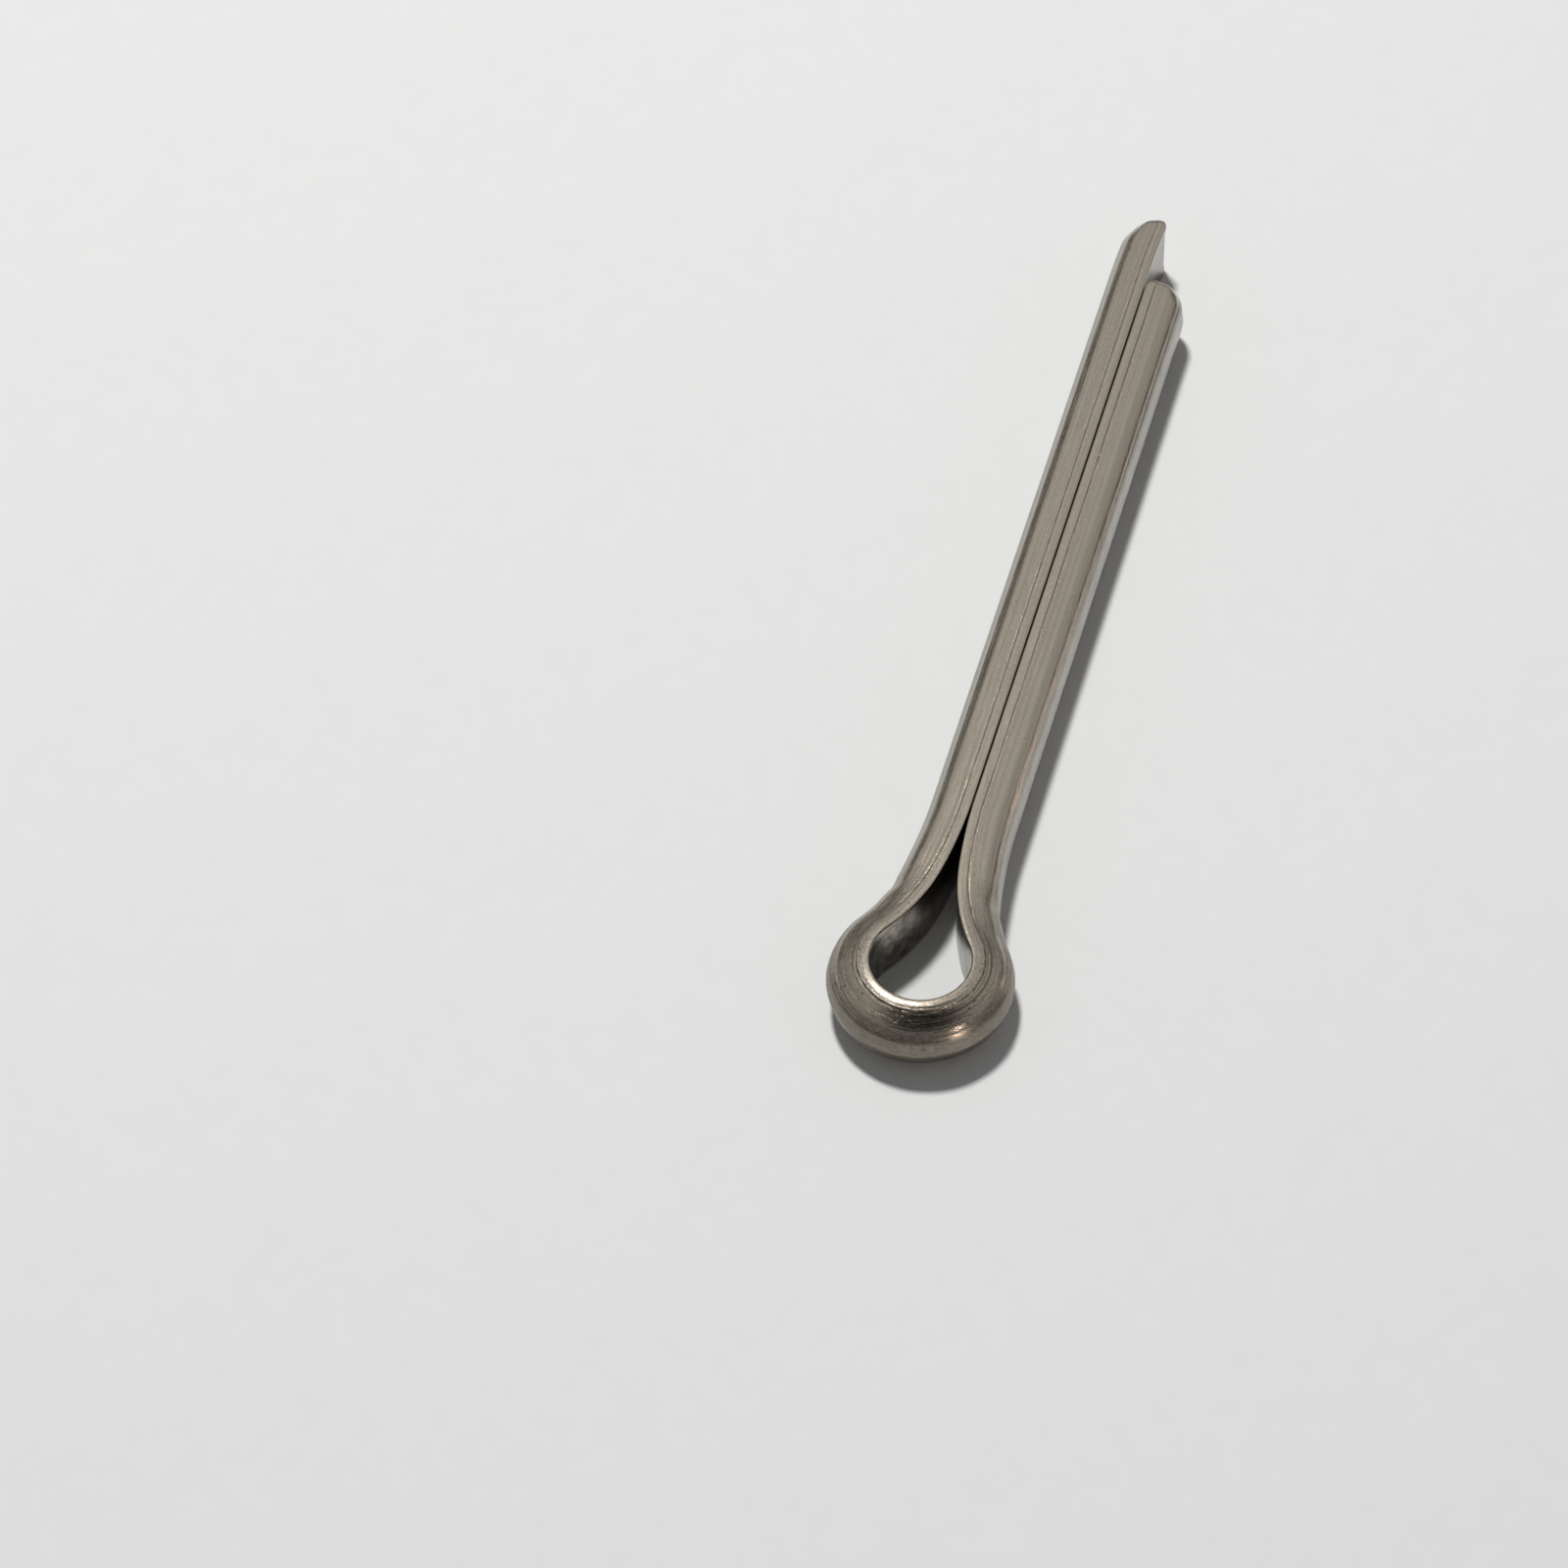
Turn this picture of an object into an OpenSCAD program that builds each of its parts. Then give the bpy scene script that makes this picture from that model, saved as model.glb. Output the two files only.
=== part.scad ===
// Split cotter pin, nominal 4 x 32 mm: one length of half-round wire folded in the middle.
//
// The fold stands open as a round eye, the two legs run in from it through a tapering neck, and
// from there they lie flat face to flat face as one shank. One leg is cut longer than the other,
// so that the ends can be caught and bent apart.
//
// Frame: the pin lies flat. The eye's axis is Z, the origin is on it at half the wire's height,
// the shank runs along +X, and the longer leg is the one on the +Y side.

/* [Wire] */
// Thickness of the wire, from its flat face to its crown
leg_t = 1.7; // [1.4:0.05:2.05]
// Height of the wire, along its flat face
wire_h = 2.9; // [2.4:0.05:3.5]
// Width of the flat land on the top and the underside, from the flat face to the ridge
land_w = 0.45; // [0.3:0.05:0.6]
// Bevel along the two edges of the flat face
edge_c = 0.12; // [0.05:0.01:0.2]

/* [Eye] */
// Diameter of the hole through the eye
eye_bore_d = 3.9; // [3.2:0.1:4.7]
// Angle between the shank and the end of the eye's round arc, at each side of its mouth
mouth_a = 56; // [47:1:66]

/* [Shank] */
// Gap between the two flat faces along the shank
leg_gap = 0.12; // [0.06:0.02:0.4]
// From the eye's axis to the end of the shorter leg
short_l = 36; // [20:1:60]
// Length by which the longer leg passes the shorter one
tail_l = 3.3; // [1.5:0.1:4]
// Slope of each leg where the neck's tight bend hands over to its long one
taper_a = 9; // [7:0.5:11]
// Radius of the long bend, measured at the flat face, that brings the legs parallel
close_r = 24; // [20:1:30]

/* [Hidden] */

$fn = 96;

// Radius of the hole, which the wire's flat face lines
bore_r = eye_bore_d / 2;

// The crown is an arc through both ridges and the outermost point of the wire.
crown_rise = leg_t - land_w;
crown_r = (crown_rise * crown_rise + wire_h * wire_h / 4) / (2 * crown_rise);

// The tight bend of the neck starts square to the end of the eye's arc, and its radius, at the
// flat face, is what leaves exactly half the gap once the long bend has closed.
neck_r = (bore_r * sin(mouth_a) - close_r * (1 - cos(taper_a)) - leg_gap / 2)
    / (cos(taper_a) - sin(mouth_a));

// Centre of the tight bend
neck_x = (bore_r + neck_r) * cos(mouth_a);
neck_y = (bore_r + neck_r) * sin(mouth_a);

// Centre of the long bend, above the point where the straight shank starts
shank_x = neck_x + (close_r - neck_r) * sin(taper_a);
close_y = leg_gap / 2 + close_r;

// Moves its children to [x, y] in two steps, a rounded one and the small rest, so that the end
// faces of neighbouring bends still meet flush when each step is written with only six digits.
module place(x, y) {
    step_x = round(x * 1000) / 1000;
    step_y = round(y * 1000) / 1000;
    translate([step_x, step_y, 0])
        translate([x - step_x, y - step_y, 0])
            children();
}

// Section of the wire: the flat face lies on x = 0 and the crown points to +X. The slab of the
// wire's height cuts the crown's circle at the two ridges.
module wire_section() {
    intersection() {
        translate([leg_t - crown_r, 0])
            circle(r = crown_r);
        polygon([
            [0, edge_c - wire_h / 2],
            [edge_c, -wire_h / 2],
            [2 * leg_t, -wire_h / 2],
            [2 * leg_t, wire_h / 2],
            [edge_c, wire_h / 2],
            [0, wire_h / 2 - edge_c],
        ]);
    }
}

// Wire bent round the origin from angle a_from over a_turn. The flat face lies at radius r and
// the crown faces away from the centre, as in the eye.
module bend_crown_out(r, a_from, a_turn) {
    rotate_extrude(angle = a_turn, start = a_from)
        translate([r, 0])
            wire_section();
}

// The same with the crown facing the centre, as in the neck.
module bend_crown_in(r, a_from, a_turn) {
    rotate_extrude(angle = a_turn, start = a_from)
        translate([r, 0])
            mirror([1, 0])
                wire_section();
}

// Straight wire along +X with its crown facing +Y
module straight_wire(len) {
    rotate([90, 0, 90])
        linear_extrude(height = len)
            wire_section();
}

// One leg on the +Y side, from the end of the eye's arc to its cut end at x = end_x
module leg(end_x) {
    place(neck_x, neck_y)
        bend_crown_in(neck_r, 180 + mouth_a, 90 - mouth_a - taper_a);
    place(shank_x, close_y)
        bend_crown_in(close_r, 270 - taper_a, taper_a);
    place(shank_x, leg_gap / 2)
        straight_wire(end_x - shank_x);
}

// The whole pin
module cotter_pin() {
    color("darkgray") {
        bend_crown_out(bore_r, mouth_a, 360 - 2 * mouth_a);
        leg(short_l + tail_l);
        mirror([0, 1, 0])
            leg(short_l);
    }
}

cotter_pin();
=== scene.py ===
# %% [markdown]
# # A cotter pin of drawn stainless wire
# The pin is one length of half-round wire. It was folded in the middle round a mandrel, so that
# the fold stands open as an eye, and then squeezed until the two flat faces almost met.
# Most of what you see on it comes from that story. The drawing die left long fine lines, the fold
# raised a round lip inside the eye, the mandrel left a dull patch in the bore, and the shears
# left two torn ends. Some darker tints in its colour are painted shade. We build the shape as one
# swept mesh and the finish as two metals.

# %% Tools and the fixed frame
import math

import bpy
import numpy as np
from mathutils import Matrix, Vector, noise


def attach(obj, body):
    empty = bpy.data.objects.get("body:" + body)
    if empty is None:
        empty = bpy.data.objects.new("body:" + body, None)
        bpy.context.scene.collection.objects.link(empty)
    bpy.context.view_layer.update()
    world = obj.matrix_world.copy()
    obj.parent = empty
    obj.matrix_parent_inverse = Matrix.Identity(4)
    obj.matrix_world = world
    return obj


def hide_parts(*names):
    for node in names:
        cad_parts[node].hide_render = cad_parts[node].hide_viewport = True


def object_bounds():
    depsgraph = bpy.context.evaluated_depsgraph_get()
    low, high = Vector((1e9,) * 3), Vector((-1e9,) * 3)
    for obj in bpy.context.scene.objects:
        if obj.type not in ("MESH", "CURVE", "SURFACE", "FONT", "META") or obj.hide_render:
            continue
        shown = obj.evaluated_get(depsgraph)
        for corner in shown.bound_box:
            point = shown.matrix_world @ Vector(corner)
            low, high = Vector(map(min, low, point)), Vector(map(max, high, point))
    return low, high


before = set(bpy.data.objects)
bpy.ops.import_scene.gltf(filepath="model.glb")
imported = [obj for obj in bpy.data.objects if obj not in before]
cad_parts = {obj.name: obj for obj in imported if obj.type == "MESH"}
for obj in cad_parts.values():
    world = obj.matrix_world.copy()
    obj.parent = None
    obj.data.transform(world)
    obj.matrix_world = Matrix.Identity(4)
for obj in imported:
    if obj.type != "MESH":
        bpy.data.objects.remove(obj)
cad_low, cad_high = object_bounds()
MM = 0.001
print("CAD box in mm:", [round((b - a) / MM, 2) for a, b in zip(cad_low, cad_high)])

# %% [markdown]
# ## The sizes of the wire
# The outer limits are read from the frame, so the mesh always agrees with the part it dresses.
# The eye's axis is the frame's origin, which makes most of them one coordinate away. The rest
# are the sizes of a nominal 4 mm pin. All of them are in millimetres.

# %% Sizes in millimetres
half_height = cad_high.z / MM          # from the middle of the flat face to its edge
eye_outer = -cad_low.x / MM            # from the eye's axis to the crown of the wire
long_end = cad_high.x / MM             # from the eye's axis to the end of the longer leg
tail = 3.3                             # how far the longer leg passes the shorter one
thickness = 1.7                        # of the wire, from flat face to crown
gap = 0.12                             # between the two flat faces along the shank
mouth = math.radians(56)               # the eye's round arc ends this far from the shank
taper = math.radians(9)                # slope where the tight bend hands over to the long one
long_bend = 24.0                       # radius of the long bend that closes the shank
bore = eye_outer - thickness
short_end = long_end - tail
tight_bend = ((bore * math.sin(mouth) - long_bend * (1 - math.cos(taper)) - gap / 2)
              / (math.cos(taper) - math.sin(mouth)))
print(f"bore radius {bore:.2f} mm, tight bend {tight_bend:.2f} mm, "
      f"wire {2 * half_height:.1f} mm high")

# %% [markdown]
# ## The line the wire follows
# A curve object with a bevel could sweep a section for us, but every ring would then be the same,
# and this wire changes along the way. So the centre line is made one piece at a time, as arcs and
# straights joined end to end. Each point also knows the direction its crown faces. Beyond the
# shorter leg the tail leans over by a tenth of a millimetre, where nothing holds it straight any
# more.

# %% Arcs and legs
ring_step = 0.12                       # distance between two rings of points
cut_zone = 1.0                         # the rings stand closer together this far from a cut end
cut_rings = 18                         # number of rings in that stretch
tail_lean = 0.12                       # sideways, at the end of the longer leg


def arc(centre, radius, start, end, crown_side):
    """Points on an arc, as rows of x, y and the unit vector that the crown faces.
    crown_side is +1 where the crown faces away from the centre and -1 where it faces it."""
    count = max(4, round(abs(end - start) * radius / ring_step))
    a = np.linspace(start, end, count + 1)
    out = np.stack([np.cos(a), np.sin(a)], 1)
    return np.hstack([np.asarray(centre) + radius * out, crown_side * out])


def straight(start_x, end_x):
    """The straight stretch of a leg, in the same kind of rows, with its crown facing +Y."""
    zone_x = end_x - cut_zone
    even = np.linspace(start_x, zone_x, round((zone_x - start_x) / ring_step) + 1)
    closer = zone_x + cut_zone * np.sin(np.linspace(0, math.pi / 2, cut_rings + 1)[1:])
    x = np.append(even, closer)
    lean = tail_lean * np.clip((x - long_end + tail) / tail, 0, 1) ** 2
    return np.column_stack([x, gap / 2 - lean, np.zeros_like(x), np.ones_like(x)])


def one_leg(end_x):
    """The leg on the +Y side, from the end of the eye's round arc to its cut end."""
    tight_centre = (bore + tight_bend) * np.array([math.cos(mouth), math.sin(mouth)])
    shank_x = tight_centre[0] + (long_bend - tight_bend) * math.sin(taper)
    down = 1.5 * math.pi
    tight_arc = arc(tight_centre, tight_bend, math.pi + mouth, down - taper, -1)
    long_arc = arc((shank_x, gap / 2 + long_bend), long_bend, down - taper, down, -1)
    return np.concatenate([tight_arc, long_arc[1:], straight(shank_x, end_x)[1:]])


# %% The whole wire, from the shorter leg's end to the longer leg's end
mirror = np.array([1.0, -1.0, 1.0, -1.0])
eye = arc((0, 0), bore, -mouth, mouth - 2 * math.pi, 1)
line = np.concatenate([(one_leg(short_end) * mirror)[::-1], eye[1:-1], one_leg(long_end)])
path, facing = line[:, :2], line[:, 2:]
along = np.concatenate([[0], np.cumsum(np.linalg.norm(np.diff(path, axis=0), axis=1))])
rings = len(path)
print(f"{rings} rings along {along[-1]:.1f} mm of wire")

# %% [markdown]
# ## What changes along the wire
# `fold` is 1 round the eye and 0 on the straight legs, with a soft change in the neck.
# `to_end` is the distance to the nearer cut end. The noise helper samples one smooth random
# surface laid over the wire, so that marks can be long in one direction and short in the other.

# %% Values along the path
neck_start, neck_end = 0.8, 5.5        # the fold fades out between these, from the eye's axis


def ease(x, low, high):
    """0 below low, 1 above high, and an S-curve in between."""
    t = np.clip((x - low) / (high - low), 0, 1)
    return t * t * (3 - 2 * t)


def marks(a, b, a_scale, b_scale, seed):
    """Smooth noise from -1 to 1 over the arrays a and b, with its own scale for each."""
    a, b = np.broadcast_arrays(a, b)
    flat = [noise.noise(Vector((p / a_scale, q / b_scale, seed)))
            for p, q in zip(a.ravel(), b.ravel())]
    return np.array(flat).reshape(a.shape)


fold = 1 - ease(path[:, 0], neck_start, neck_end)
to_end = np.minimum(along, along[-1] - along)
on_long_leg = along > along[-1] / 2
print("rings in the fold:", int((fold > 0.5).sum()))

# %% [markdown]
# ## The section of the wire
# The section is a D. Walking from the middle of the flat face upwards we pass the flat face, its
# small rounded edge, the land, the groove the die left beside it, and then the crown. On the
# legs the crown is not a true round: rollers pressed it into a few soft facets, which is why
# each leg shows clean bands of light and dark. The lower half is the same, mirrored.
# In the fold the inside of the wire is squeezed, so the land swells into a rounded lip, and the
# crown beside it drops away in a step. We keep one list of corners for the legs and one for the
# eye, and let `fold` blend them.

# %% Sizes of the section, for every ring at once
waver = marks(along, 0.0, 3.0, 1.0, seed=1.7)          # of the land's width
uneven = marks(along, 0.0, 0.35, 1.0, seed=5.1)        # depth of the groove
edge_round = 0.065 + 0.035 * fold
land_width = 0.33 * (1 + 0.05 * waver) + 0.15 * fold
land_bow = 0.012 + 0.063 * fold
land_crest = land_width * (0.5 - 0.25 * fold)
land_drop = 0.003                      # the crest stays this far below the frame's top
groove_width = 0.065 + 0.030 * fold
groove_depth = (0.030 - 0.008 * fold) * (1 + 0.9 * uneven)
FLAT, EDGE, LAND, GROOVE, CROWN = 7, 6, 8, 7, 36     # points spent on each stretch
print(f"land {land_width.min():.2f} to {land_width.max():.2f} mm wide, "
      f"groove {groove_depth.mean():.3f} mm deep")


def land_height(u):
    """Height of the slightly bowed land, at a distance u from the flat face."""
    off_crest = (u - land_crest) / (land_width - land_crest)
    return half_height - land_drop - land_bow * off_crest ** 2


# %% The crown, as facets with soft corners
shoulder = np.array([(0.10, 1.45), (1.05, 1.33), (1.36, 1.12), (1.60, 0.82),
                     (thickness, 0.0)])
eye_shoulder = np.array([(0.28, 1.43), (0.60, 1.28), (1.20, 0.99), (1.54, 0.59),
                         (thickness, 0.0)])
SAMPLES = 400                          # points on each softened outline
places = np.arange(SAMPLES)


def softened(corners, softness):
    """Walk along straight facets with their corners rounded off, in evenly spaced points."""
    fine_step, reach_of_bell = 0.01, 30     # in millimetres, and in steps to either side
    corners = np.concatenate([corners, corners[-2::-1] * (1, -1)])
    reach = np.concatenate([[0], np.cumsum(np.linalg.norm(np.diff(corners, axis=0), axis=1))])
    fine = np.arange(0, reach[-1], fine_step)
    outline = [np.interp(fine, reach, corners[:, i]) for i in (0, 1)]
    offsets = np.arange(-reach_of_bell, reach_of_bell + 1) * fine_step
    bell = np.exp(-0.5 * (offsets / softness) ** 2)
    outline = np.stack([np.convolve(row, bell / bell.sum(), "valid") for row in outline], 1)
    upper = outline[outline[:, 1] >= 0]
    pick = np.linspace(0, len(upper) - 1, SAMPLES)
    return np.stack([np.interp(pick, np.arange(len(upper)), upper[:, i]) for i in (0, 1)], 1)


def crown_points():
    """Points of the crown for every ring, from the groove to the middle of the wire."""
    shapes = [softened(shoulder, 0.055), softened(eye_shoulder, 0.09)]
    starts = [np.interp(land_width + groove_width, shape[:, 0], places) for shape in shapes]
    for t in np.arange(CROWN + 1) / CROWN:
        leg, folded_eye = [[np.interp(start + (SAMPLES - 1 - start) * t, places, shape[:, i])
                            for i in (0, 1)] for shape, start in zip(shapes, starts)]
        yield [(1 - fold) * p + fold * q for p, q in zip(leg, folded_eye)]


crown = list(crown_points())
print(f"crown {crown[-1][0].max():.2f} mm from the flat face, {len(crown)} points to its top")

# %% [markdown]
# Each stretch of the section is a short loop that adds its points for all rings together, which
# is quick in NumPy. The second half is the first one mirrored, without its two shared points.

# %% Half of the section, then all of it


def half_section():
    """Rings by points: distance from the flat face, and height above the wire's middle."""
    us, ws = [], []

    def add(u, w):
        us.append(np.broadcast_to(u, rings).astype(float))
        ws.append(np.broadcast_to(w, rings).astype(float))

    edge_top = land_height(edge_round)
    for t in np.arange(FLAT) / FLAT:
        add(0.0, (edge_top - edge_round) * t)
    for a in 0.5 * math.pi * np.arange(EDGE) / EDGE:
        add(edge_round * (1 - math.cos(a)), edge_top - edge_round * (1 - math.sin(a)))
    for t in np.arange(LAND) / LAND:
        u = edge_round + (land_width - edge_round) * t
        add(u, land_height(u))
    for t in np.arange(GROOVE) / GROOVE:
        rim = (1 - t) * land_height(land_width) + t * crown[0][1]
        add(land_width + groove_width * t, rim - groove_depth * math.sin(math.pi * t) ** 2)
    for u, w in crown:
        add(u, w)
    return np.stack(us, 1), np.stack(ws, 1)


u_half, w_half = half_section()
u = np.concatenate([u_half, u_half[:, -2:0:-1]], 1)
w = np.concatenate([w_half, -w_half[:, -2:0:-1]], 1)
in_groove = np.zeros(u_half.shape[1])
in_groove[FLAT + EDGE + LAND:][:GROOVE] = np.sin(math.pi * np.arange(GROOVE) / GROOVE) ** 2
in_groove = np.concatenate([in_groove, in_groove[-2:0:-1]])
around = u.shape[1]
print(f"{around} points round the section")

# %% [markdown]
# ## Marks that change the shape
# Some marks are big enough to catch the light as shapes. The die leaves shallow bands along the
# whole wire, the fold leaves dents on the outside of the eye, and the jaws that closed the neck
# leave a shallow hollow across each shoulder. All of them push the surface in or out along its
# own normal, by a few hundredths of a millimetre. On the legs the rim of each flat face is also
# pushed towards its partner, so the slit between them reads as one thin line.

# %% Push the surface in and out
hollow_x = 3.1                         # from the eye's axis to the hollow across each shoulder
hollow_depth, hollow_width = 0.050, 0.42
rim_push = 0.040                       # of each flat face's rim, towards the other leg


def section_normals():
    """Unit vectors that point out of the metal, in the plane of the section."""
    du = np.roll(u, -1, 1) - np.roll(u, 1, 1)
    dw = np.roll(w, -1, 1) - np.roll(w, 1, 1)
    length = np.hypot(du, dw)
    return -dw / length, du / length


def ring_at(x, side):
    """The ring nearest to x on the leg of the +Y side (1) or the -Y side (-1)."""
    return np.argmin(np.where(np.sign(path[:, 1]) == side, abs(path[:, 0] - x), np.inf))


s, bent = along[:, None], fold[:, None]
round_way = np.cumsum(np.hypot(np.diff(u, axis=1, prepend=u[:, :1]),
                               np.diff(w, axis=1, prepend=w[:, :1])), axis=1)
outside = ease(u, 0.9, 1.4)
bands = ((0.0025 + 0.004 * bent) * ease(u, 0.5, 0.9)
         * marks(s, round_way, 14.0, 0.16, seed=3.3))
dents = 0.016 * marks(s, round_way, 0.9, 0.45, seed=8.8) * outside * bent
hollows = sum(-hollow_depth * np.exp(-((s - along[ring_at(hollow_x, side)]) / hollow_width) ** 2)
              for side in (-1, 1)) * outside
push = bands + dents + hollows
out_u, out_w = section_normals()
u = u + push * out_u
w = w + push * out_w
u = u - rim_push * (1 - bent) * (1 - ease(u, 0.0, 0.12)) * ease(abs(w), 0.9, 1.3)
print(f"largest push {1000 * abs(push).max():.0f} micrometres")

# %% [markdown]
# ## The cut ends
# Shears drag the metal with them before it breaks, so each end is drawn in like a fingertip:
# the crown side is rolled over most, the flat side a little, and the top sinks slightly. Each
# side shrinks towards the same line along a quarter of an ellipse, with a length of its own.

# %% Draw the ends in
still_u = 0.50                         # this far from the flat face the metal stays in place


def drawn_in(length):
    """1 at the cut, 0 a length away from it, along a quarter of an ellipse."""
    return 1 - np.sqrt(1 - np.clip(1 - to_end / length, 0, 1) ** 2)[:, None]


crown_roll = np.where(on_long_leg[:, None], 0.84 * drawn_in(1.30), 0.66 * drawn_in(1.00))
flat_roll = 0.70 * drawn_in(0.50)
u = still_u + (u - still_u) * (1 - np.where(u < still_u, flat_roll, crown_roll))
w = w * (1 - 0.12 * drawn_in(0.35))
print(f"the wire is {u[-1].max() - u[-1].min():.2f} mm thick at the longer leg's cut")

# %% [markdown]
# ## One closed mesh
# The rings become a tube, and each end is closed by smaller and smaller copies of its last ring.
# Those inner rings are roughened, because a sheared face is torn and not smooth. Next to its
# place in space, every point stores its place on the wire, for the materials to read.

# %% Points and faces
points, wire_at, faces, is_cut = [], [], [], []
dome = 0.06                            # how far the middle of a cut face stands out
rim_drop = 0.6 * dome                  # how far its edge is drawn back


def add_points(ring, us, ws, lift=0.0):
    """Add points beside one place on the path; lift moves them past the end of the shank."""
    first = len(points)
    xy = path[ring] + np.outer(us, facing[ring])
    xy[:, 0] += lift
    points.extend((np.column_stack([xy, ws]) * MM).tolist())
    wire_at.extend(np.column_stack([np.full(len(us), along[ring]), us, ws]).tolist())
    return first


def add_band(lower, upper, cut):
    """A belt of four-sided faces between two rings, given by their first points."""
    for a in range(around):
        b = (a + 1) % around
        faces.append((upper + a, upper + b, lower + b, lower + a))
        is_cut.append(cut)


for ring in range(rings):
    add_points(ring, u[ring], w[ring], -rim_drop if ring in (0, rings - 1) else 0.0)
tube = len(points)
for ring in range(rings - 1):
    add_band(ring * around, (ring + 1) * around, cut=False)
print(f"{tube} points and {len(faces)} faces in the tube")

# %% Close the two ends


def torn(us, ws, seed):
    """Relief of a sheared face in millimetres: coarse tears, and finer ones on top."""
    return (0.030 * marks(us, ws, 0.30, 0.22, seed)
            + 0.015 * marks(us, ws, 0.10, 0.12, seed=9.0))


for ring, seed, at_start in ((0, 4.0, True), (rings - 1, 5.0, False)):
    middle_u, rim = u[ring].mean(), ring * around
    for size in (0.94, 0.84, 0.70, 0.55, 0.38, 0.20):
        us, ws = middle_u + size * (u[ring] - middle_u), size * w[ring]
        lift = -0.5 * dome * size ** 2 + torn(us, ws, seed) * (1 - size ** 8)
        inner = add_points(ring, us, ws, lift)
        lower, upper = (inner, rim) if at_start else (rim, inner)
        add_band(lower, upper, cut=True)
        rim = inner
    tip = add_points(ring, np.array([middle_u]), np.array([0.0]))
    for a in range(around):
        b = (a + 1) % around
        faces.append((rim + a, rim + b, tip) if at_start else (tip, rim + b, rim + a))
        is_cut.append(True)

# %% The object, its maps and its place in the frame
mesh = bpy.data.meshes.new("cotter_pin_wire")
mesh.from_pydata(points, [], faces)
mesh.polygons.foreach_set("use_smooth", [True] * len(faces))
mesh.polygons.foreach_set("material_index", [int(c) for c in is_cut])


def add_map(name, values):
    """Store one number for every point of the mesh; the points of the cut faces get 0."""
    everywhere = np.concatenate([values, np.zeros(len(points) - tube)])
    mesh.attributes.new(name, "FLOAT", "POINT").data.foreach_set("value", everywhere)


at = mesh.attributes.new("wire_at", "FLOAT_VECTOR", "POINT")
at.data.foreach_set("vector", np.array(wire_at).ravel())
add_map("folded", np.repeat(fold, around))
add_map("in_groove", np.tile(in_groove, rings))
mesh.update()
pin = bpy.data.objects.new("cotter_pin_wire", mesh)
bpy.context.scene.collection.objects.link(pin)
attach(pin, "root")
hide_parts("cotter_pin")
volume = sum(p.area * p.center.dot(p.normal) for p in mesh.polygons) / 3 / MM ** 3
print(f"{len(faces)} faces, about {volume:.0f} cubic mm")

# %% [markdown]
# ## The finish: cold-drawn stainless steel
# Drawing wire through a die polishes it and scratches it at the same time, always lengthwise.
# The metal stays bright, but the lines spread each reflection sideways into a satin sheen, and
# tiny pits and burrs break it up into grain. Where the mandrel and the jaws pressed on it the
# steel is duller, and the folding tool left rings beside the lip. Some layers are painted shade:
# the groove, the outer sides of the wire, a band beside the lip, part of the eye's rim, and the
# flat faces that line the slit are painted darker. An image could carry all that, but nodes stay
# sharp at any distance. So the base colour is a stack of thin layers on one bright steel, and
# roughness and relief follow the same maps.

# %% Helpers for node materials


def linear(hex_colour):
    """An sRGB colour such as "C9C4BC" as the linear RGBA that Blender's nodes expect."""
    parts = [int(hex_colour[i:i + 2], 16) / 255 for i in (0, 2, 4)]
    return tuple(c / 12.92 if c <= 0.04045 else ((c + 0.055) / 1.055) ** 2.4
                 for c in parts) + (1.0,)


def node(tree, kind, settings=None, **inputs):
    """Add a node, set its properties, and fill its inputs with values or other outputs.
    An input is given by its name, or by the letter i and its number."""
    made = tree.nodes.new(kind)
    for name, value in (settings or {}).items():
        setattr(made, name, value)
    for name, value in inputs.items():
        key = int(name[1:]) if name[0] == "i" and name[1:].isdigit() else name.replace("_", " ")
        if isinstance(value, bpy.types.NodeSocket):
            tree.links.new(value, made.inputs[key])
        else:
            made.inputs[key].default_value = value
    return made


def new_material(name):
    """An empty node material and its Principled shader, already wired to the output."""
    material = bpy.data.materials.new(name)
    material.use_nodes = True
    tree = material.node_tree
    tree.nodes.clear()
    shader = tree.nodes.new("ShaderNodeBsdfPrincipled")
    node(tree, "ShaderNodeOutputMaterial", Surface=shader.outputs["BSDF"])
    return material, tree, shader


# %% [markdown]
# The wire carries its own map: `wire_at` holds the distance along the wire, the distance from
# the flat face, and the height, all in millimetres. Stretching a noise along the first of them
# draws lines that follow the wire round the eye, just as the die marks do. Real die lines are
# a few micrometres apart, too fine to see at this size, so they are drawn at 8 and 20 a
# millimetre. The crystals that make the grain are drawn coarser for the same reason. The helpers
# in the next cells add to `tree`, which is the material, or later the room, being built.

# %% Maps on the wire
steel, tree, shader = new_material("cold_drawn_stainless")
wire_map = node(tree, "ShaderNodeAttribute", {"attribute_name": "wire_at"}).outputs["Vector"]
folded = node(tree, "ShaderNodeAttribute", {"attribute_name": "folded"}).outputs["Fac"]
groove = node(tree, "ShaderNodeAttribute", {"attribute_name": "in_groove"}).outputs["Fac"]
wire_parts = node(tree, "ShaderNodeSeparateXYZ", Vector=wire_map).outputs
from_flat = wire_parts["Y"]
from_middle = node(tree, "ShaderNodeMath", {"operation": "ABSOLUTE"},
                   i0=wire_parts["Z"]).outputs[0]


def worked(per_mm, length_mm=None, detail=2, rough=0.6):
    """Noise from 0 to 1 laid on the wire's map, with this many marks to a millimetre across the
    wire. Each is as long as length_mm, or as long as it is wide if no length is given."""
    pull = 1 / length_mm if length_mm else per_mm
    scaled = node(tree, "ShaderNodeMapping", Vector=wire_map,
                  Scale=(pull, per_mm, per_mm)).outputs["Vector"]
    return node(tree, "ShaderNodeTexNoise", Vector=scaled, Scale=1.0, Detail=detail,
                Roughness=rough).outputs["Fac"]


die_lines = worked(8.0, 16.0)
fine_lines = worked(20.0, 1.4)
ring_lines = worked(9.0, 12.0, detail=1)
speckle = worked(17.0, 0.10, detail=3, rough=0.65)
print(len(tree.nodes), "nodes for the maps")

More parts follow.
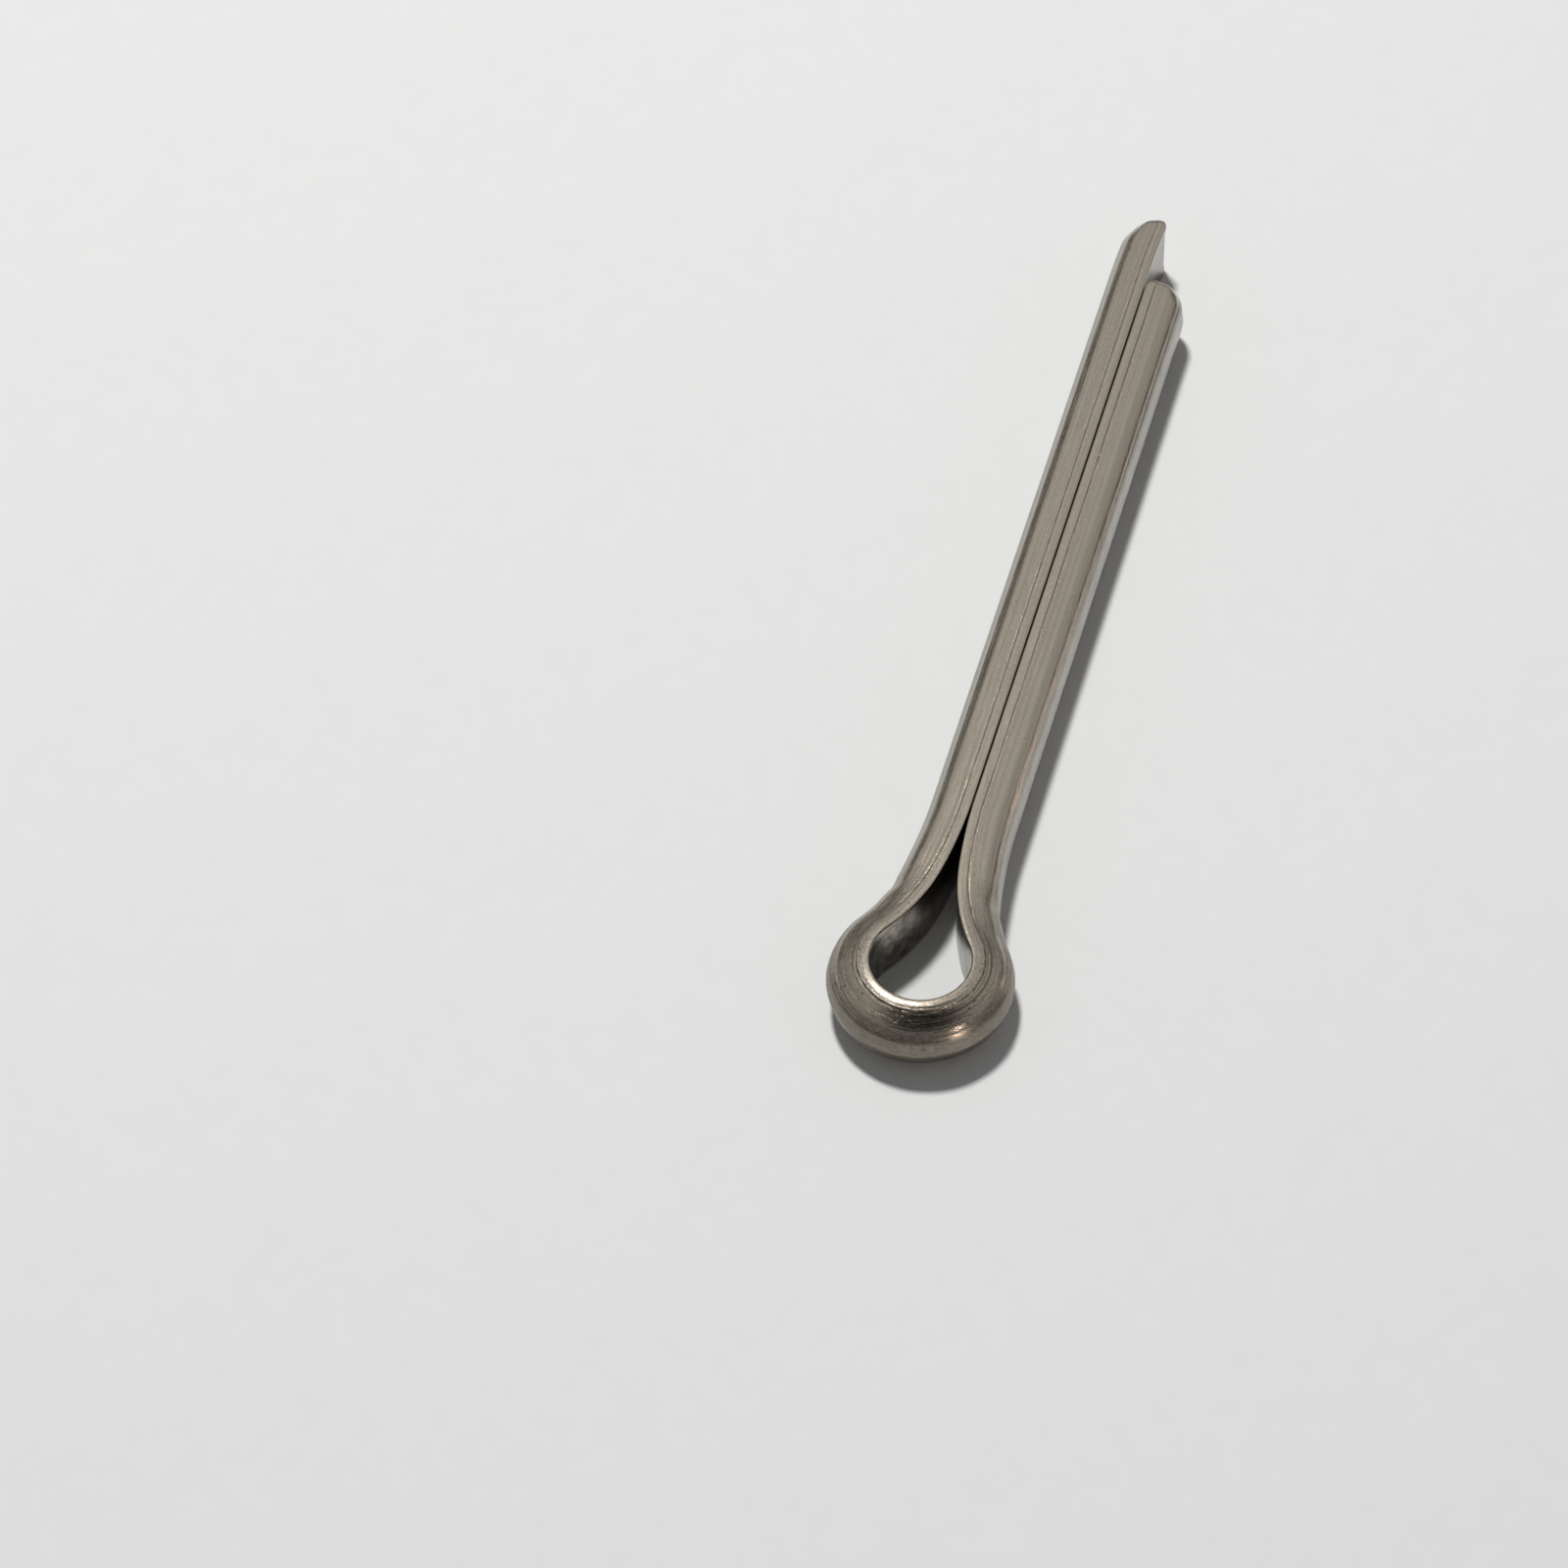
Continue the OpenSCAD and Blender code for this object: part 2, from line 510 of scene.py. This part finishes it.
# %% [markdown]
# Now each mark gets a map of its own, 1 where it covers the steel and 0 where it doesn't. Most
# of them are worked out from the distance to the flat face, because that is how far round the
# wire a tool could reach. Nearly all of them are stronger in the eye, where the metal was worked
# hardest.

# %% Where each mark lies


def cover(*bands, inside=()):
    """How far a mark covers the steel: its bands and the maps it lies inside, multiplied.
    A band is a value, two limits to fade between, and how strong the mark is at each limit."""
    strengths = list(inside)
    for value, low, high, at_low, at_high in bands:
        strengths.append(node(tree, "ShaderNodeMapRange", Value=value, From_Min=low,
                              From_Max=high, To_Min=at_low, To_Max=at_high).outputs["Result"])
    product = strengths[0]
    for strength in strengths[1:]:
        product = node(tree, "ShaderNodeMath", {"operation": "MULTIPLY"},
                       i0=product, i1=strength).outputs[0]
    return product


mostly_eye = (folded, 0.0, 1.0, 0.35, 1.0)
dark_specks = cover((speckle, 0.36, 0.52, 0.6, 0.0), mostly_eye)
# painted shade: a darker, greyer tint on the outer sides of the wire, which dims the bright board
# they mirror
outer_side_painted_shade = cover((from_flat, 1.38, 1.56, 0.0, 1.0),
                    (worked(1.6, detail=4), 0.35, 0.65, 0.6, 1.0))
# painted shade: a patchy darker band just outside the lip in the eye, deepening the dark that the
# crown mirrors there
lip_band_painted_shade = cover((from_flat, 0.55, 0.90, 0.0, 0.55),
                (worked(1.2, 1.6, detail=4), 0.38, 0.62, 0.5, 1.0), inside=[folded])
beside_lip = cover((from_flat, 0.52, 0.60, 0.0, 1.0), (from_flat, 0.75, 1.15, 1.0, 0.0),
                   inside=[folded])
tool_rings = cover((ring_lines, 0.50, 0.60, 0.0, 0.7), inside=[beside_lip])
eye_rim = cover((from_flat, 1.28, 1.52, 0.0, 1.0), inside=[folded])
# partly wear and partly painted shade: the outer rim of the eye is mottled and darker
rim_wear_and_painted_shade = cover((speckle, 0.38, 0.56, 1.0, 0.3), inside=[eye_rim])
pits = cover((worked(9.0, 0.13), 0.66, 0.70, 0.0, 1.0), mostly_eye)
# painted shade: a dark line along the groove, strongest in the eye
groove_painted_shade = cover((worked(1.0, 0.25, detail=3), 0.40, 0.60, 0.25, 1.0),
                    (folded, 0.0, 1.0, 0.32, 1.0), inside=[groove])
on_flat = cover((from_flat, 0.005, 0.05, 1.0, 0.0),
                (from_middle, half_height - 0.25, half_height - 0.08, 1.0, 0.0))
mandrel_patch = cover((worked(1.9, detail=5), 0.40, 0.64, 0.0, 1.0))
print(len(tree.nodes), "nodes with the marks")

# %% [markdown]
# The colours are laid over each other in the order in which the marks were made, from the bright
# die lines to the painted shade in the groove. The flat face comes last, because it was pressed
# against its partner and has a dull skin, which the mandrel left patchy in the bore. That skin is
# also painted darker, as shade.

# %% Lay the colours over each other


def layered(base, *layers):
    """Colours over each other: the base, and then each colour where its cover is 1. A colour
    is an sRGB hex value, or what another stack of layers gave."""
    stack = linear(base) if isinstance(base, str) else base
    for covered, colour in layers:
        colour = linear(colour) if isinstance(colour, str) else colour
        stack = node(tree, "ShaderNodeMix", {"data_type": "RGBA"}, Factor=covered,
                     i6=stack, i7=colour).outputs[2]
    return stack


die_shine = cover((die_lines, 0.35, 0.65, 0.0, 1.0))
# the flat faces and the bore have a dull skin, and are also painted darker as shade, so the slit
# and the bore read dark
bore_skin_and_painted_shade = layered("5F5B53", (mandrel_patch, "ADA89D"))
flat_skin_and_painted_shade = layered("89837A", (folded, bore_skin_and_painted_shade))
tree.links.new(layered("B9B2A7", (die_shine, "C6C0B6"), (dark_specks, "857E73"),
                       (outer_side_painted_shade, "96938C"), (lip_band_painted_shade, "7E776B"), (tool_rings, "4E4940"),
                       (rim_wear_and_painted_shade, "787064"), (pits, "57524B"), (groove_painted_shade, "37332C"),
                       (on_flat, flat_skin_and_painted_shade)), shader.inputs["Base Color"])
shader.inputs["Metallic"].default_value = 1.0
print(len(tree.nodes), "nodes with the colours")

# %% [markdown]
# Roughness follows the fine lines, and the worn rim of the eye is rougher. The relief is a chain
# of bump nodes, one for each kind of mark, with real depths in millimetres. It is calmer on the
# legs than in the eye, and calmest on the lip, which the fold has ironed smooth.

# %% Roughness and relief
rim_dullness = 0.12
line_roughness = node(tree, "ShaderNodeMapRange", Value=fine_lines, From_Min=0.3, From_Max=0.7,
                      To_Min=0.15, To_Max=0.26).outputs["Result"]
tree.links.new(node(tree, "ShaderNodeMath", {"operation": "MULTIPLY_ADD"}, i0=eye_rim,
                    i1=rim_dullness, i2=line_roughness).outputs[0], shader.inputs["Roughness"])
on_lip = cover((from_flat, 0.44, 0.50, 1.0, 0.0), inside=[folded])
calm = cover((on_lip, 0.0, 1.0, 1.0, 0.35), (folded, 0.0, 1.0, 0.55, 1.0))
burrs = cover((from_flat, 0.24, 0.32, 0.0, 1.0), (from_flat, 0.44, 0.58, 1.0, 0.0),
              inside=[worked(11.0)])
rings_cut = cover(inside=[beside_lip, ring_lines])
relief = None
for mark, depth_mm in ((die_lines, 0.016), (fine_lines, 0.010), (speckle, 0.008),
                       (burrs, 0.026), (rings_cut, 0.014)):
    below = {"Normal": relief} if relief else {}
    relief = node(tree, "ShaderNodeBump", Height=cover(inside=[mark, calm]), Strength=1.0,
                  Distance=depth_mm * MM, **below).outputs["Normal"]
tree.links.new(relief, shader.inputs["Normal"])
mesh.materials.append(steel)
print(f"{steel.name}: {len(tree.nodes)} nodes")

# %% [markdown]
# ## The finish: sheared stainless steel
# A sheared face was never touched by the die. It is torn metal, so it is rougher and greyer,
# and its relief is thirty micrometres deep. It gets its own material and shares the wire's map.

# %% Sheared stainless steel
cut_steel, tree, shader = new_material("sheared_stainless")
tear_depth_mm = 0.030
wire_map = node(tree, "ShaderNodeAttribute", {"attribute_name": "wire_at"}).outputs["Vector"]
tears = worked(7.0, detail=5)
tree.links.new(layered("8F8A82", (cover((tears, 0.3, 0.7, 0.0, 1.0)), "BDB8B0")),
               shader.inputs["Base Color"])
shader.inputs["Metallic"].default_value = 1.0
shader.inputs["Roughness"].default_value = 0.42
relief = node(tree, "ShaderNodeBump", Height=tears, Strength=1.0, Distance=tear_depth_mm * MM)
tree.links.new(relief.outputs["Normal"], shader.inputs["Normal"])
mesh.materials.append(cut_steel)
print(f"{cut_steel.name}: {len(tree.nodes)} nodes on {sum(is_cut)} faces")

# %% [markdown]
# ## The board
# The pin lies flat on its side on pale uncoated card, as it would be shown in a catalogue. The
# fibres of the card scatter light evenly, so it hardly shines. One square face is enough for it,
# much larger than the pin, with a faint mottle about a millimetre across so that it doesn't look
# like an empty background.

# %% A pale card
board_half = 0.35
mottles_per_mm = 0.9
floor_z = cad_low.z
corners = [(x * board_half, y * board_half, floor_z)
           for x, y in ((-1, -1), (1, -1), (1, 1), (-1, 1))]
board = bpy.data.meshes.new("board")
board.from_pydata(corners, [], [(0, 1, 2, 3)])
floor = bpy.data.objects.new("board", board)
bpy.context.scene.collection.objects.link(floor)
card, tree, shader = new_material("uncoated_card")
place_at = node(tree, "ShaderNodeTexCoord").outputs["Object"]
mottle = node(tree, "ShaderNodeTexNoise", Vector=place_at, Scale=mottles_per_mm / MM,
              Detail=3.0).outputs["Fac"]
tree.links.new(layered("EAEAE8", (mottle, "EEEEEC")), shader.inputs["Base Color"])
shader.inputs["Roughness"].default_value = 0.8
board.materials.append(card)
print(f"board {2 * board_half:.1f} m wide, {-floor_z / MM:.2f} mm below the eye's middle")

# %% [markdown]
# ## The camera
# A long lens from about 28 cm away keeps the two legs nearly parallel. The camera looks down
# over the eye and along the shank, and it is tipped by about one degree, as a hand holds it.

# %% Camera
camera_way = math.radians(196.59)      # from the +X axis round to the side the camera stands on
camera_height = math.radians(52.12)    # above the board
camera_roll = math.radians(-1.146)
camera_distance = 0.2796
aim = Vector((0.00886, 0.00793, floor_z))
back = Vector((-math.cos(camera_way), -math.sin(camera_way), 0.0))
right = Vector((back.y, -back.x, 0.0))


def from_camera(to_right, to_back, up):
    """A direction given the way the camera sees it, turned into the frame's own axes."""
    return (right * to_right + back * to_back + Vector((0, 0, up))).normalized()


toward_camera = from_camera(0.0, -math.cos(camera_height), math.sin(camera_height))
camera_data = bpy.data.cameras.new("camera")
camera_data.lens, camera_data.sensor_width = 163.2, 36.0
camera_data.clip_start, camera_data.clip_end = 0.01, 10.0
camera = bpy.data.objects.new("camera", camera_data)
bpy.context.scene.collection.objects.link(camera)
camera.location = aim + toward_camera * camera_distance
camera.rotation_mode = "QUATERNION"
camera.rotation_quaternion = ((-toward_camera).to_track_quat("-Z", "Y")
                              @ Matrix.Rotation(camera_roll, 3, "Z").to_quaternion())
bpy.context.scene.camera = camera
print(f"camera {camera_distance / MM:.0f} mm from its aim, lens {camera_data.lens:.0f} mm")

# %% [markdown]
# ## Lamps
# A metal shows what stands around it more than the light that falls on it, so the two jobs get
# separate lamps. The key lights only matt surfaces: it makes the shadow on the board. The glint
# stands in the same place and is only mirrored: it draws the bright line along the lip of the
# eye. Two small warm lamps are mirrored as sparks on the crown.

# %% Lamps


def area_light(name, direction, distance, size, watts, hex_colour, lights, shows):
    """A soft rectangular lamp. lights is whether it lights matt surfaces, shows whether
    shiny ones mirror it."""
    data = bpy.data.lights.new(name, "AREA")
    data.shape = "RECTANGLE"
    data.size, data.size_y = size
    data.energy, data.color = watts, linear(hex_colour)[:3]
    lamp = bpy.data.objects.new(name, data)
    bpy.context.scene.collection.objects.link(lamp)
    lamp.location = aim + direction * distance
    lamp.rotation_mode = "QUATERNION"
    lamp.rotation_quaternion = (-direction).to_track_quat("-Z", "Y")
    lamp.visible_diffuse, lamp.visible_glossy = lights, shows
    print(f"lamp {name}: {watts} W, {1000 * distance:.0f} mm away")


overhead = from_camera(-0.115, 0.343, 0.932)
low_in_front = from_camera(0.60, -0.76, 0.20)
low_on_the_right = from_camera(0.95, 0.28, 0.03)
area_light("key", overhead, 0.45, (0.055, 0.055), 1.60, "FFFFFF", lights=True, shows=False)
area_light("glint", overhead, 0.45, (0.07, 0.04), 0.55, "FFF8EE", lights=False, shows=True)
area_light("warm_front", low_in_front, 0.35, (0.014, 0.02), 0.17, "FFE6D8",
           lights=False, shows=True)
area_light("warm_side", low_on_the_right, 0.35, (0.02, 0.03), 0.012, "FFE6D6",
           lights=False, shows=True)

# %% [markdown]
# ## The room
# The world does the rest of the light. It is bright above, dark at the horizon, dimmer behind
# the camera, and dark where the onlooker leans over the pin. The dark horizon gives the legs
# their dark edge bands. Only mirrors see this room: matt surfaces get one plain grey instead, so
# that the board is lit evenly and the shadow on it has one depth.

# %% The room the metal mirrors
world = bpy.data.worlds.new("studio")
bpy.context.scene.world = world
world.use_nodes = True
tree = world.node_tree
tree.nodes.clear()
way = node(tree, "ShaderNodeTexCoord").outputs["Generated"]
height = node(tree, "ShaderNodeSeparateXYZ", Vector=way).outputs["Z"]
climb = node(tree, "ShaderNodeMapRange", Value=height, From_Min=-1, From_Max=1).outputs["Result"]
ramp = node(tree, "ShaderNodeValToRGB", Fac=climb)
stops = ((0.0, "8C8A86"), (0.44, "8C8A86"), (0.485, "24221E"), (0.56, "2B2924"),
         (0.61, "7C7973"), (0.66, "ADAAA5"), (0.72, "B7B4AF"), (0.90, "C0BDB8"), (1.0, "B4B2AE"))
while len(ramp.color_ramp.elements) < len(stops):
    ramp.color_ramp.elements.new(0.5)
for stop, (position, hex_colour) in zip(ramp.color_ramp.elements, stops):
    stop.position, stop.color = position, linear(hex_colour)
print(len(stops), "stops from floor to ceiling")

# %% Dark places in the room
behind_camera = (from_camera(0, 1, 0), -0.80, 0.0, 0.45, 1.0)
onlooker = (from_camera(0, -0.25, 0.958), 0.83, 0.94, 1.0, 0.03)
mirrored = ramp.outputs["Color"]
for direction, *fade in (behind_camera, onlooker):
    agreement = node(tree, "ShaderNodeVectorMath", {"operation": "DOT_PRODUCT"},
                     i0=way, i1=tuple(direction)).outputs["Value"]
    mirrored = node(tree, "ShaderNodeMix", {"data_type": "RGBA", "blend_type": "MULTIPLY"},
                    Factor=1.0, i6=mirrored, i7=cover((agreement, *fade))).outputs[2]
matt = node(tree, "ShaderNodeLightPath").outputs["Is Diffuse Ray"]
backdrop = node(tree, "ShaderNodeBackground", Color=layered(mirrored, (matt, "717376")),
                Strength=1.0)
node(tree, "ShaderNodeOutputWorld", Surface=backdrop.outputs["Background"])
print(f"{world.name}: {len(tree.nodes)} nodes")

# %% [markdown]
# ## Finish
# The box of the part and the box of the finished mesh should differ by a few hundredths of a
# millimetre at most, because the marks are no deeper than that and the ends are only rounded
# inwards.

# %% Finish
bpy.context.scene.view_settings.view_transform = "Standard"
